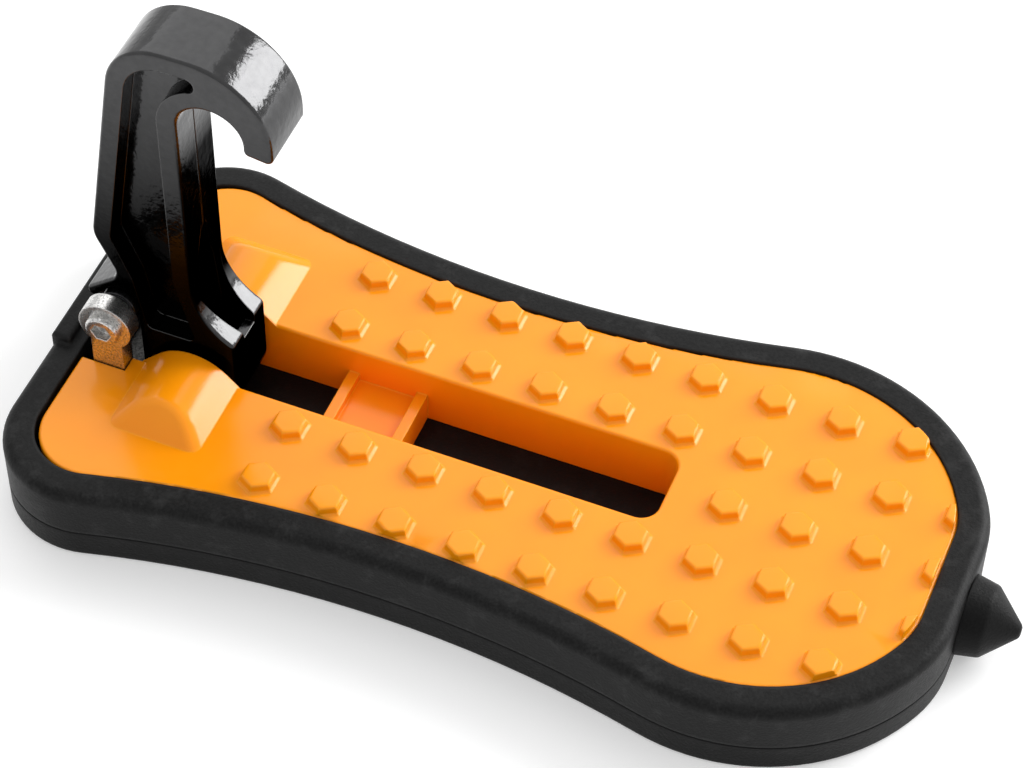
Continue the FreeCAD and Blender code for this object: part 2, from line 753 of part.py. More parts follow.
def tapered_block(low_flats, low_z, high_flats, high_z):
    """A solid hexagon that narrows upwards."""
    low = hexagon(low_flats, low_z)
    high = hexagon(high_flats, high_z)
    rings = [low, high] + [[low[k], low[k - 5], high[k - 5], high[k]] for k in range(6)]
    return Part.Solid(Part.Shell([Part.Face(Part.makePolygon(ring + ring[:1])) for ring in rings]))


def tapered_stud():
    """One stud at the origin: a tapered hexagon with a rounded top, flared where it leaves the deck."""
    deck = size("deck_height")
    root = size("deck_skin") / 3
    flats = size("stud_flats")
    flare = size("stud_flare")
    spread = (flats - size("stud_top_flats")) * root / size("stud_height")
    top = deck + size("stud_height")
    blank = tapered_block(flats + spread, deck - root, size("stud_top_flats"), top)
    upper = [edge for edge in blank.Edges if lies_at_height(edge, top)]
    foot = tapered_block(flats + 2 * flare + 2 * root, deck - root, flats - 2 * flare, deck + 2 * flare)
    return blank.makeFillet(size("stud_round"), upper).fuse(foot)


def make_studs():
    """The field of studs, cut off where the flat of the deck ends."""
    stud = tapered_stud()
    field = Part.makeCompound([stud.translated(centre) for centre in stud_places()])
    flat = foot_outline(size("rim_width") + size("deck_round"), size("rear_gap"))
    face = Part.Face(Part.Wire(Part.__sortEdges__([edge.toShape() for edge in flat])))
    studs = doc.addObject("Part::Feature", "studs")
    studs.Shape = field.common(face.extrude(V(0, 0, 2 * size("deck_height"))))
    return studs


def make_foot_plate():
    casting = make_plate_casting()
    whole = fuse("plate_whole", [casting, make_studs(), make_humps()])
    bore = cylinder("pin_bore", "pin_radius + running_clearance", "2 * pin_half_length + 2 * cap_clearance",
                    "-hinge_setback", "-pin_half_length - cap_clearance", "hinge_height", TURN_TO_Y)
    way_in = block("pin_way", "2 * pin_radius + 2 * running_clearance", "2 * cap_inner + 2 * cap_clearance",
                   "hinge_height - tray_floor", "-hinge_setback - pin_radius - running_clearance",
                   "-cap_inner - cap_clearance", "tray_floor")
    tools = [bore, way_in]
    for side, low in [("near", "-cap_outer"), ("far", "cap_inner")]:
        tools.append(block(f"cap_room_{side}", "2 * cap_half_length", "cap_outer - cap_inner",
                           "hinge_height - tray_floor", "-hinge_setback - cap_half_length", low, "tray_floor"))
    for number, (x, y) in enumerate(cap_screw_places()):
        tools.append(cylinder(f"cap_thread_{number}", "cap_screw_radius + screw_clearance",
                              "cap_screw_length", x, y, "tray_floor + cap_clearance"))
    for side, low in [("near", "-lug_outer - notch_wall"), ("far", "lug_outer - lug_thickness")]:
        tools.append(cylinder(f"bracket_thread_{side}", "bracket_screw_radius + screw_clearance",
                              "notch_wall + lug_thickness", "-stop_setback", low,
                              "bracket_screw_height", TURN_TO_Y))
    tools.append(cylinder("plate_hammer_hole", "hammer_stud_radius + screw_clearance", "2 * plate_wall",
                          "foot_half_length - rim_width - 1.5 * plate_wall", "0",
                          "hammer_height", TURN_TO_X))
    return cut("foot_plate", whole, fuse("plate_holes", tools))


# Hook arm: one casting, pocketed on both sides and behind the toe

def make_hook_casting():
    body = doc.addObject("PartDesign::Body", "hook_casting")
    side = drawn_sketch(body, "hook_side", "XZ_Plane", hook_profile())
    solid = pad(body, side, "2 * hook_half_width", symmetric=True)
    half = size("hook_half_width")
    fillet(body, "hook_edges", solid, "hook_round",
           lambda edge: abs(abs(edge.CenterOfMass.y) - half) < 1e-4)
    near = drawn_sketch(body, "near_pocket", "XZ_Plane", hook_hollow(), "hook_half_width - pocket_depth")
    pocket(body, near, "pocket_depth", upward=True)
    far = drawn_sketch(body, "far_pocket", "XZ_Plane", hook_hollow(), "pocket_depth - hook_half_width")
    pocket(body, far, "pocket_depth")
    front = "-mouth_setback - mouth_radius"
    line = box_sketch(body, "shank_line", "XZ_Plane",
                      [(f"{front} - shank_line_depth", f"{front} + shank_line_depth",
                        "flare_height", "mouth_height")])
    pocket(body, line, "shank_line_width", symmetric=True)
    bore = circle_sketch(body, "pin_hole", "XZ_Plane", [("-hinge_setback", "hinge_height", "pin_radius")])
    pocket(body, bore, "4 * hook_half_width", symmetric=True)
    return body


def toe_hollow():
    """The hollow between the toe's two cheeks: it sinks into the shank's front and comes to a point above."""
    front_x = -size("mouth_setback") - size("mouth_radius")
    toe_x = -size("hinge_setback") + size("barrel_radius")
    lip_x = toe_x - size("toe_lip")
    out_x = toe_x + size("toe_lip")
    top = size("flare_height")
    foot = size("toe_pocket_foot")
    lip = size("toe_lip_height")
    horn = size("toe_horn_height")
    knee = size("toe_knee_height")
    apex = size("toe_apex_height")
    back_x = front_x + size("toe_pocket_lean")
    sunk_x = front_x - size("toe_pocket_sink")
    start_x = sunk_x - size("toe_lip")
    low = size("toe_pocket_half_width")
    tip = size("toe_pocket_tip")
    wide = size("hook_half_width") - size("toe_cheek")
    trough = [V(front_x, 0, apex), V(sunk_x, 0, top), V(back_x, 0, knee), V(back_x, 0, foot), V(lip_x, 0, foot),
              V(lip_x, 0, lip), V(out_x, 0, lip), V(out_x, 0, apex)]
    half = [(low, foot), (low, lip), (wide, horn), (wide, top), (tip, apex)]
    kite = [V(start_x, y, z) for y, z in half] + [V(start_x, -y, z) for y, z in reversed(half)]
    side = Part.Face(Part.makePolygon(trough + trough[:1])).extrude(V(0, 4 * wide, 0))
    side.translate(V(0, -2 * wide, 0))
    across = Part.Face(Part.makePolygon(kite + kite[:1])).extrude(V(out_x - start_x, 0, 0))
    hollow = doc.addObject("Part::Feature", "toe_hollow")
    hollow.Shape = side.common(across)
    return hollow


def make_hook_arm():
    return cut("hook_arm", make_hook_casting(), toe_hollow())


# Hinge hardware

def make_hinge_pin():
    return cylinder("hinge_pin", "pin_radius", "2 * pin_half_length", "-hinge_setback", "-pin_half_length",
                    "hinge_height", TURN_TO_Y)


def make_hinge_washers():
    washers = []
    gap = "(slot_half_width - hook_half_width - washer_thickness) / 2"
    for side, low in [("near", f"-hook_half_width - {gap} - washer_thickness"),
                      ("far", f"hook_half_width + {gap}")]:
        disc = cylinder(f"washer_disc_{side}", "washer_radius", "washer_thickness", "-hinge_setback", low,
                        "hinge_height", TURN_TO_Y)
        hole = cylinder(f"washer_hole_{side}", "pin_radius + running_clearance", "washer_thickness",
                        "-hinge_setback", low, "hinge_height", TURN_TO_Y)
        washers.append(cut(f"hinge_washer_{side}", disc, hole))
    return group("hinge_washers", washers)


def cap_screw_places():
    """Two screws in each cap, one on each side of the pin."""
    return [(f"-hinge_setback {sign} cap_screw_offset", y)
            for y in ("-(cap_inner + cap_outer) / 2", "(cap_inner + cap_outer) / 2")
            for sign in ("-", "+")]


def make_pin_cap(side, low, screws):
    """A block under the pin with half its bearing, held by two sunk screws."""
    solid = block(f"cap_block_{side}", "2 * cap_half_length - 2 * cap_clearance",
                  "cap_outer - cap_inner - 2 * cap_clearance", "hinge_height - tray_floor - cap_clearance",
                  "-hinge_setback - cap_half_length + cap_clearance", f"{low} + cap_clearance",
                  "tray_floor + cap_clearance")
    tools = [cylinder(f"cap_bearing_{side}", "pin_radius + running_clearance", "cap_outer - cap_inner",
                      "-hinge_setback", low, "hinge_height", TURN_TO_Y)]
    for number, (x, y) in enumerate(screws):
        tools.append(cylinder(f"cap_hole_{side}_{number}", "cap_screw_radius + screw_clearance",
                              "hinge_height", x, y, "tray_floor"))
        tools.append(cylinder(f"cap_sink_{side}_{number}", "cap_head_radius + screw_clearance",
                              "cap_head_height + cap_clearance", x, y, "tray_floor"))
    return cut(f"pin_cap_{side}", solid, fuse(f"cap_tools_{side}", tools))


def make_cap_screws():
    screws = []
    for number, (x, y) in enumerate(cap_screw_places()):
        head = cylinder(f"cap_screw_head_{number}", "cap_head_radius", "cap_head_height", x, y,
                        "tray_floor + cap_clearance")
        shank = cylinder(f"cap_screw_shank_{number}", "cap_screw_radius", "cap_screw_length - screw_clearance",
                         x, y, "tray_floor + cap_clearance")
        screws.append(fuse(f"cap_screw_{number}", [head, shank]))
    return group("cap_screws", screws)


# Stop: a folded steel bracket in the notch, with the bolt and sleeve that the heel closes on

def make_stop_bracket():
    pieces = [block("bracket_base", "2 * lug_stem_half", "2 * lug_outer", "lug_thickness",
                    "-stop_setback - lug_stem_half", "-lug_outer", "tray_floor")]
    tools = []
    for side, low in [("near", "-lug_outer"), ("far", "lug_outer - lug_thickness")]:
        pieces.append(block(f"lug_stem_{side}", "2 * lug_stem_half", "lug_thickness",
                            "stop_height - tray_floor", "-stop_setback - lug_stem_half", low, "tray_floor"))
        pieces.append(cylinder(f"lug_head_{side}", "lug_radius", "lug_thickness", "-stop_setback", low,
                               "stop_height", TURN_TO_Y))
        tools.append(cylinder(f"lug_hole_{side}", "stop_bolt_radius + running_clearance", "lug_thickness",
                              "-stop_setback", low, "stop_height", TURN_TO_Y))
        tools.append(cylinder(f"lug_screw_hole_{side}", "bracket_screw_radius + screw_clearance",
                              "lug_thickness", "-stop_setback", low, "bracket_screw_height", TURN_TO_Y))
    return cut("stop_bracket", fuse("bracket_blank", pieces), fuse("bracket_holes", tools))


def make_bracket_screws():
    screws = []
    inner = "lug_outer - lug_thickness"
    for side, head_low, shank_low in [
            ("near", f"-({inner})", f"-({inner}) - bracket_screw_length"),
            ("far", f"{inner} - bracket_head_height", inner)]:
        head = cylinder(f"bracket_head_{side}", "bracket_head_radius", "bracket_head_height", "-stop_setback",
                        head_low, "bracket_screw_height", TURN_TO_Y)
        shank = cylinder(f"bracket_shank_{side}", "bracket_screw_radius", "bracket_screw_length",
                         "-stop_setback", shank_low, "bracket_screw_height", TURN_TO_Y)
        screws.append(fuse(f"bracket_screw_{side}", [head, shank]))
    return group("bracket_screws", screws)


def make_stop_bolt():
    reach = "2 * lug_outer + stop_washer_thickness + stop_nut_height + bolt_end"
    shank = cylinder("bolt_shank", "stop_bolt_radius", reach, "-stop_setback", "-lug_outer", "stop_height",
                     TURN_TO_Y)
    low = -size("lug_outer") - size("bolt_head_height")
    disc = Part.makeCylinder(size("bolt_head_radius"), size("bolt_head_height"),
                             V(-size("stop_setback"), low, size("stop_height")), V(0, 1, 0))
    rim = [edge for edge in disc.Edges if edge.BoundBox.YMax < low + size("bolt_head_round")]
    head = doc.addObject("Part::Feature", "bolt_head")
    head.Shape = disc.makeFillet(size("bolt_head_round"), rim)
    socket = hexagon_prism("bolt_socket", "bolt_socket_flats", "bolt_socket_depth", "-stop_setback",
                           "-lug_outer - bolt_head_height", "stop_height", TURN_TO_Y)
    return cut("stop_bolt", fuse("bolt_blank", [shank, head]), socket)


def make_stop_sleeve():
    half = "lug_outer - lug_thickness - cap_clearance"
    outer = cylinder("sleeve_outer", "sleeve_radius", f"2 * ({half})", "-stop_setback", f"-({half})",
                     "stop_height", TURN_TO_Y)
    tools = [cylinder("sleeve_bore", "stop_bolt_radius + running_clearance", f"2 * ({half})",
                      "-stop_setback", f"-({half})", "stop_height", TURN_TO_Y)]
    for end, sign in [("near", "-1"), ("far", "1")]:
        middle = f"{sign} * ({half} - sleeve_groove_pitch) - sleeve_groove / 2"
        ring = cylinder(f"groove_ring_{end}", "2 * sleeve_radius", "sleeve_groove", "-stop_setback", middle,
                        "stop_height", TURN_TO_Y)
        core = cylinder(f"groove_core_{end}", "sleeve_radius - sleeve_groove", "sleeve_groove",
                        "-stop_setback", middle, "stop_height", TURN_TO_Y)
        tools.append(cut(f"groove_{end}", ring, core))
    return cut("stop_sleeve", outer, fuse("sleeve_tools", tools))


def make_stop_washer():
    disc = cylinder("stop_washer_disc", "stop_washer_radius", "stop_washer_thickness", "-stop_setback",
                    "lug_outer", "stop_height", TURN_TO_Y)
    hole = cylinder("stop_washer_hole", "stop_bolt_radius + running_clearance", "stop_washer_thickness",
                    "-stop_setback", "lug_outer", "stop_height", TURN_TO_Y)
    return cut("stop_washer", disc, hole)


def make_stop_nut():
    low = "lug_outer + stop_washer_thickness"
    blank = hexagon_prism("stop_nut_blank", "stop_nut_flats", "stop_nut_height", "-stop_setback", low,
                          "stop_height", TURN_TO_Y)
    hole = cylinder("stop_nut_hole", "stop_bolt_radius + running_clearance", "stop_nut_height",
                    "-stop_setback", low, "stop_height", TURN_TO_Y)
    return cut("stop_nut", blank, hole)


# Hammer tip on the front of the rim

def make_hammer_tip():
    """A turned point: flared root, blunt cone with a round nose, and a stud through the wall."""
    root_x = size("foot_half_length")
    shoulder_x = root_x + size("hammer_base_length")
    point_x = shoulder_x + size("hammer_cone_length")
    back_x = root_x - size("hammer_stud_length")
    stud = size("hammer_stud_radius")
    base = size("hammer_base_radius")
    point = size("hammer_point_radius")
    body = doc.addObject("PartDesign::Body", "hammer_tip")
    edges = line_chain([V(point_x, 0, 0), V(back_x, 0, 0), V(back_x, stud, 0), V(root_x, stud, 0),
                        V(root_x, size("hammer_root_radius"), 0)])
    edges += rounded_chain([V(root_x, size("hammer_root_radius"), 0), V(shoulder_x, base, 0),
                            V(point_x, point, 0), V(point_x, 0, 0)],
                           [size("hammer_shoulder_round"), size("hammer_point_round")])
    sketch = drawn_sketch(body, "hammer_half", "XY_Plane", edges)
    turned = body.newObject("PartDesign::Revolution", "hammer_turned")
    turned.Profile = sketch
    turned.ReferenceAxis = (sketch, ["H_Axis"])
    turned.Angle = 360
    bind(body, "Placement.Base.z", "hammer_height")
    return body


def hammer_wall():
    """Inner face of the plate's front wall, as size names."""
    return "foot_half_length - rim_width - plate_wall"


def make_hammer_washer():
    low = f"{hammer_wall()} - hammer_washer_thickness"
    disc = cylinder("hammer_washer_disc", "hammer_washer_radius", "hammer_washer_thickness", low,
                    "0", "hammer_height", TURN_TO_X)
    hole = cylinder("hammer_washer_hole", "hammer_stud_radius + screw_clearance", "hammer_washer_thickness",
                    low, "0", "hammer_height", TURN_TO_X)
    return cut("hammer_washer", disc, hole)


def make_hammer_nut():
    low = f"{hammer_wall()} - hammer_washer_thickness - hammer_nut_height"
    blank = hexagon_prism("hammer_nut_blank", "hammer_nut_flats", "hammer_nut_height", low, "0",
                          "hammer_height", TURN_TO_X)
    hole = cylinder("hammer_nut_hole", "hammer_stud_radius + screw_clearance", "hammer_nut_height", low,
                    "0", "hammer_height", TURN_TO_X)
    return cut("hammer_nut", blank, hole)


# Base screws and washers, sunk in the tray's floor

def make_base_fasteners():
    screws = []
    washers = []
    under_washer = "base_recess - base_washer_thickness"
    for number, (x, y) in enumerate(tray_screws()):
        head = cylinder(f"base_head_{number}", "base_head_radius", "base_head_height", x, y,
                        f"{under_washer} - base_head_height")
        shank = cylinder(f"base_shank_{number}", "base_screw_radius", "base_screw_length", x, y, under_washer)
        screws.append(fuse(f"base_screw_{number}", [head, shank]))
        disc = cylinder(f"base_disc_{number}", "base_washer_radius", "base_washer_thickness", x, y,
                        under_washer)
        hole = cylinder(f"base_disc_hole_{number}", "base_screw_radius + screw_clearance",
                        "base_washer_thickness", x, y, under_washer)
        washers.append(cut(f"base_washer_{number}", disc, hole))
    return group("base_screws", screws), group("base_washers", washers)


def make_all():
    near_screws = cap_screw_places()[:2]
    far_screws = cap_screw_places()[2:]
    base_screws, base_washers = make_base_fasteners()
    return {
        "rubber_base": make_rubber_base(),
        "foot_plate": make_foot_plate(),
        "hook_arm": make_hook_arm(),
        "hinge_pin": make_hinge_pin(),
        "hinge_washers": make_hinge_washers(),
        "pin_cap_near": make_pin_cap("near", "-cap_outer", near_screws),
        "pin_cap_far": make_pin_cap("far", "cap_inner", far_screws),
        "cap_screws": make_cap_screws(),
        "stop_bracket": make_stop_bracket(),
        "bracket_screws": make_bracket_screws(),
        "stop_bolt": make_stop_bolt(),
        "stop_sleeve": make_stop_sleeve(),
        "stop_washer": make_stop_washer(),
        "stop_nut": make_stop_nut(),
        "hammer_tip": make_hammer_tip(),
        "hammer_washer": make_hammer_washer(),
        "hammer_nut": make_hammer_nut(),
        "base_screws": base_screws,
        "base_washers": base_washers,
    }


def check(nodes):
    """Stop if any object of the document failed, or a node's shape is empty or broken."""
    failed = [item.Name for item in doc.Objects if "Invalid" in item.State or "Error" in item.State]
    if failed:
        raise RuntimeError("failed objects: " + ", ".join(failed))
    for name, node in nodes.items():
        if node.Shape.isNull() or not node.Shape.isValid() or not node.Shape.Solids:
            raise RuntimeError("bad shape: " + name)


def main():
    nodes = make_all()
    doc.recompute()
    check(nodes)
    os.makedirs("parts", exist_ok=True)
    for name, node in nodes.items():
        node.Label = name
        node.Shape.exportStep(os.path.join("parts", name + ".step"))
        box = node.Shape.BoundBox
        print(f"{name}: {len(node.Shape.Solids)} solid(s), {node.Shape.Volume:.0f} mm3, "
              f"x {box.XMin:.1f}..{box.XMax:.1f} y {box.YMin:.1f}..{box.YMax:.1f} z {box.ZMin:.1f}..{box.ZMax:.1f}")


main()
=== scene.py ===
"""Door latch step: finishes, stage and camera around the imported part. Units are metres."""
import json
import math

import bpy
import numpy as np
from mathutils import Matrix, Vector

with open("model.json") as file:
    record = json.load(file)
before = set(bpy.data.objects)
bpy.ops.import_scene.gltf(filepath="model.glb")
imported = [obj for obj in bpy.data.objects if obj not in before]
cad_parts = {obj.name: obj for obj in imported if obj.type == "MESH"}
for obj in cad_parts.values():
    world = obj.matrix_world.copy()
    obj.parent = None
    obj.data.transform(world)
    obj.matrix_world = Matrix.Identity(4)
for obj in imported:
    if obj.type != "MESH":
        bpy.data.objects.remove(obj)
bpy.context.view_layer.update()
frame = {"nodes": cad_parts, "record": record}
nodes = frame["nodes"]

MM = 0.001
WHITE = (1.0, 1.0, 1.0)
BLACK = (0.0, 0.0, 0.0)

# The range that most of a noise pattern lies in
NOISE_LOW = 0.3
NOISE_HIGH = 0.7

# How well the eased normal agrees with the plain one: off the edges, and fully on an edge
OFF_EDGE = 0.99
ON_EDGE = 0.90

# Sockets of a Mix node set to colours
MIX_FACTOR = 0
MIX_FIRST = 6
MIX_SECOND = 7
MIX_RESULT = 2

# Vertices closer than this are joined for shading, and edges sharper than this stay crisp
JOIN_REACH = 0.002 * MM
CRISP_ANGLE = math.radians(32)

# The floor's half width, and how much it glows for the camera and in reflections
FLOOR_HALF = 6.0
FLOOR_GLOW = 0.30


# Material helpers

def grey(level):
    """A neutral colour."""
    return (level, level, level)


def start_finish(name):
    """A node material with a Principled shader, and the object coordinates that its patterns read."""
    finish = bpy.data.materials.new(name)
    finish.use_nodes = True
    tree = finish.node_tree
    shader = tree.nodes["Principled BSDF"]
    place = tree.nodes.new("ShaderNodeTexCoord").outputs["Object"]
    return finish, tree, shader, place


def grain(tree, place, size, detail=2.0, roughness=0.5):
    """Noise whose lumps are about size metres across."""
    node = tree.nodes.new("ShaderNodeTexNoise")
    node.inputs["Scale"].default_value = 1.0 / size
    node.inputs["Detail"].default_value = detail
    node.inputs["Roughness"].default_value = roughness
    tree.links.new(place, node.inputs["Vector"])
    return node.outputs["Fac"]


def pits(tree, place, size):
    """Distance to the nearest of scattered points about size metres apart."""
    node = tree.nodes.new("ShaderNodeTexVoronoi")
    node.inputs["Scale"].default_value = 1.0 / size
    tree.links.new(place, node.inputs["Vector"])
    return node.outputs["Distance"]


def shades(tree, factor, stops):
    """Colours spread along a factor; stops are (position, (r, g, b))."""
    node = tree.nodes.new("ShaderNodeValToRGB")
    ramp = node.color_ramp
    for element, (position, colour) in zip(ramp.elements, stops):
        element.position = position
        element.color = (*colour, 1.0)
    tree.links.new(factor, node.inputs["Fac"])
    return node.outputs["Color"]


def remap(tree, value, low, high, to_low=0.0, to_high=1.0):
    """Map low..high of a value to to_low..to_high, and hold it at the ends."""
    node = tree.nodes.new("ShaderNodeMapRange")
    node.inputs["From Min"].default_value = low
    node.inputs["From Max"].default_value = high
    node.inputs["To Min"].default_value = to_low
    node.inputs["To Max"].default_value = to_high
    tree.links.new(value, node.inputs["Value"])
    return node.outputs["Result"]


def component(tree, vector, axis):
    """One component of a vector."""
    node = tree.nodes.new("ShaderNodeSeparateXYZ")
    tree.links.new(vector, node.inputs["Vector"])
    return node.outputs[axis]


def vector_math(tree, operation, first, second):
    """A node that works on two vectors."""
    node = tree.nodes.new("ShaderNodeVectorMath")
    node.operation = operation
    tree.links.new(first, node.inputs[0])
    tree.links.new(second, node.inputs[1])
    return node


def greater(tree, first, second):
    """The greater of two factors."""
    node = tree.nodes.new("ShaderNodeMath")
    node.operation = "MAXIMUM"
    tree.links.new(first, node.inputs[0])
    tree.links.new(second, node.inputs[1])
    return node.outputs["Value"]


def spread(tree, factor, low, high):
    """Stretch the usual range of a noise pattern to low..high."""
    return remap(tree, factor, NOISE_LOW, NOISE_HIGH, low, high)


def upward(tree, place, low, high):
    """0 below the height low and 1 above the height high, in metres."""
    return remap(tree, component(tree, place, "Z"), low, high)


def facing(tree, axis, low, high):
    """0 where the object's own normal has the component low along an axis, and 1 where it has high."""
    normal = tree.nodes.new("ShaderNodeTexCoord").outputs["Normal"]
    return remap(tree, component(tree, normal, axis), low, high)


def paint_shade(tree, colour, factor, floor_shade):
    """Painted shade: darken a colour to floor_shade times itself where the factor is 0."""
    node = tree.nodes.new("ShaderNodeVectorMath")
    node.operation = "SCALE"
    tree.links.new(colour, node.inputs["Vector"])
    tree.links.new(remap(tree, factor, 0.0, 1.0, to_low=floor_shade), node.inputs["Scale"])
    return node.outputs["Vector"]


def tone(tree, colour, filter_colour):
    """One colour seen through another."""
    return vector_math(tree, "MULTIPLY", colour, filter_colour).outputs["Vector"]


def added(tree, colour, more):
    """Two colours added up."""
    return vector_math(tree, "ADD", colour, more).outputs["Vector"]


def edges(tree, radius):
    """The normal with edges eased to a radius in metres, and a factor that is 1 along the edges."""
    bevel = tree.nodes.new("ShaderNodeBevel")
    bevel.samples = 4
    bevel.inputs["Radius"].default_value = radius
    eased = bevel.outputs["Normal"]
    plain = tree.nodes.new("ShaderNodeNewGeometry").outputs["Normal"]
    agreement = vector_math(tree, "DOT_PRODUCT", eased, plain).outputs["Value"]
    return eased, remap(tree, agreement, OFF_EDGE, ON_EDGE)


def wear_and_sheen(tree, colour, edge, edge_colour):
    """A colour that turns to edge_colour along edges, as wear and, on some finishes, a painted
    highlight.
    """
    node = tree.nodes.new("ShaderNodeMix")
    node.data_type = "RGBA"
    node.inputs[MIX_SECOND].default_value = (*edge_colour, 1.0)
    tree.links.new(edge, node.inputs[MIX_FACTOR])
    tree.links.new(colour, node.inputs[MIX_FIRST])
    return node.outputs[MIX_RESULT]


def relief(tree, height, strength, depth, under):
    """Bump of a height pattern, depth metres deep, on top of another normal."""
    node = tree.nodes.new("ShaderNodeBump")
    node.inputs["Strength"].default_value = strength
    node.inputs["Distance"].default_value = depth
    tree.links.new(height, node.inputs["Height"])
    tree.links.new(under, node.inputs["Normal"])
    return node.outputs["Normal"]


# Finishes

def orange_coat():
    """Glossy orange coating over a casting: mottled, orange-peeled, painted shade low down, paler on
    edges.
    """
    finish, tree, shader, place = start_finish("orange_coat")
    mottle = grain(tree, place, size=14 * MM, detail=3.0)
    colour = shades(tree, mottle, [(0.3, (0.95, 0.290, 0.002)), (0.7, (0.97, 0.312, 0.003))])
    # Painted shade: the colour turns deeper and redder below the deck, down the slot walls.
    height = upward(tree, place, low=9 * MM, high=17.6 * MM)
    painted_low_shade = shades(tree, height, [(0.0, (1.0, 0.85, 0.80)), (1.0, WHITE)])
    eased, edge = edges(tree, radius=0.5 * MM)
    colour = wear_and_sheen(tree, tone(tree, colour, painted_low_shade), edge, edge_colour=(1.0, 0.40, 0.010))
    tree.links.new(colour, shader.inputs["Base Color"])
    peel = grain(tree, place, size=1.6 * MM)
    fine = grain(tree, place, size=0.35 * MM)
    tree.links.new(spread(tree, peel, low=0.15, high=0.21), shader.inputs["Roughness"])
    shader.inputs["Specular IOR Level"].default_value = 0.36
    peeled = relief(tree, peel, strength=0.06, depth=0.08 * MM, under=eased)
    surface = relief(tree, fine, strength=0.04, depth=0.04 * MM, under=peeled)
    tree.links.new(surface, shader.inputs["Normal"])
    return finish


def black_rubber():
    """Moulded rubber: leathery grain, faint scuffs, dust and painted highlight on edges, painted shade
    low down.
    """
    finish, tree, shader, place = start_finish("black_rubber")
    fine = grain(tree, place, size=0.55 * MM, detail=3.0, roughness=0.6)
    colour = shades(tree, fine, [(0.35, grey(0.004)), (0.7, grey(0.012))])
    eased, edge = edges(tree, radius=1.2 * MM)
    scuffs = grain(tree, place, size=5 * MM, detail=4.0, roughness=0.7)
    scuffed = shades(tree, scuffs, [(0.52, BLACK), (0.70, grey(0.012))])
    # Paler edges: dust, and a painted highlight along the rim's rounded edges.
    colour = wear_and_sheen(tree, added(tree, colour, scuffed), edge, edge_colour=grey(0.030))
    # Painted shade: darker low down, so the slot floor and the rim's lower sides read as shaded.
    colour = paint_shade(tree, colour, upward(tree, place, low=4 * MM, high=9 * MM), floor_shade=0.3)
    tree.links.new(colour, shader.inputs["Base Color"])
    tree.links.new(spread(tree, fine, low=0.40, high=0.52), shader.inputs["Roughness"])
    shader.inputs["Specular IOR Level"].default_value = 0.14
    coarse = grain(tree, place, size=9 * MM)
    wavy = relief(tree, coarse, strength=0.08, depth=0.5 * MM, under=eased)
    surface = relief(tree, fine, strength=0.45, depth=0.22 * MM, under=wavy)
    tree.links.new(surface, shader.inputs["Normal"])
    return finish


def black_gloss():
    """Orange-peeled black chrome on the hook, bright at the crown and on upward faces, painted shade low
    down.
    """
    finish, tree, shader, place = start_finish("black_gloss")
    peel = grain(tree, place, size=1.7 * MM)
    colour = shades(tree, peel, [(0.3, (0.060, 0.060, 0.061)), (0.7, (0.070, 0.070, 0.071))])
    eased, edge = edges(tree, radius=0.35 * MM)
    # Paler edges: wear, and a painted highlight along the edges.
    colour = wear_and_sheen(tree, colour, edge, edge_colour=grey(0.11))
    # Painted shade: the reflectance drops to 8% below the crown, except on upward faces.
    top_side = facing(tree, "Z", low=0.25, high=0.5)
    crown = greater(tree, top_side, upward(tree, place, low=48 * MM, high=98 * MM))
    colour = paint_shade(tree, colour, crown, floor_shade=0.08)
    # Painted shade: lower faces turned to the mouth side are painted darker, dimming their reflections.
    not_front = facing(tree, "X", low=0.6, high=0.2)
    off_mouth = greater(tree, not_front, upward(tree, place, low=74 * MM, high=84 * MM))
    off_mouth = greater(tree, top_side, off_mouth)
    tree.links.new(paint_shade(tree, colour, off_mouth, floor_shade=0.22), shader.inputs["Base Color"])
    # Painted shade: the specular tint dims grazing reflections low down, off upward faces and on the
    # mouth side.
    upper = greater(tree, top_side, upward(tree, place, low=40 * MM, high=70 * MM))
    rise = shades(tree, upper, [(0.0, grey(0.5)), (1.0, WHITE)])
    grazing = shades(tree, off_mouth, [(0.0, grey(0.45)), (1.0, WHITE)])
    tree.links.new(tone(tree, rise, grazing), shader.inputs["Specular Tint"])
    tree.links.new(spread(tree, peel, low=0.10, high=0.17), shader.inputs["Roughness"])
    surface = relief(tree, peel, strength=0.40, depth=0.20 * MM, under=eased)
    tree.links.new(surface, shader.inputs["Normal"])
    shader.inputs["Metallic"].default_value = 1.0
    return finish


def bare_steel(name, dark, light, rough):
    """Bare steel with fine tumbled speckle, painted shade darkening it below the deck."""
    finish, tree, shader, place = start_finish(name)
    speckle = grain(tree, place, size=0.5 * MM, detail=3.0, roughness=0.7)
    eased, edge = edges(tree, radius=0.4 * MM)
    colour = wear_and_sheen(tree, shades(tree, speckle, [(0.35, dark), (0.6, light)]), edge, edge_colour=light)
    # Painted shade: the steel is painted dark below the deck, down in the slot.
    colour = paint_shade(tree, colour, upward(tree, place, low=15 * MM, high=19 * MM), floor_shade=0.06)
    tree.links.new(colour, shader.inputs["Base Color"])
    tree.links.new(spread(tree, speckle, low=rough + 0.1, high=rough), shader.inputs["Roughness"])
    surface = relief(tree, speckle, strength=0.25, depth=0.08 * MM, under=eased)
    tree.links.new(surface, shader.inputs["Normal"])
    shader.inputs["Metallic"].default_value = 1.0
    return finish


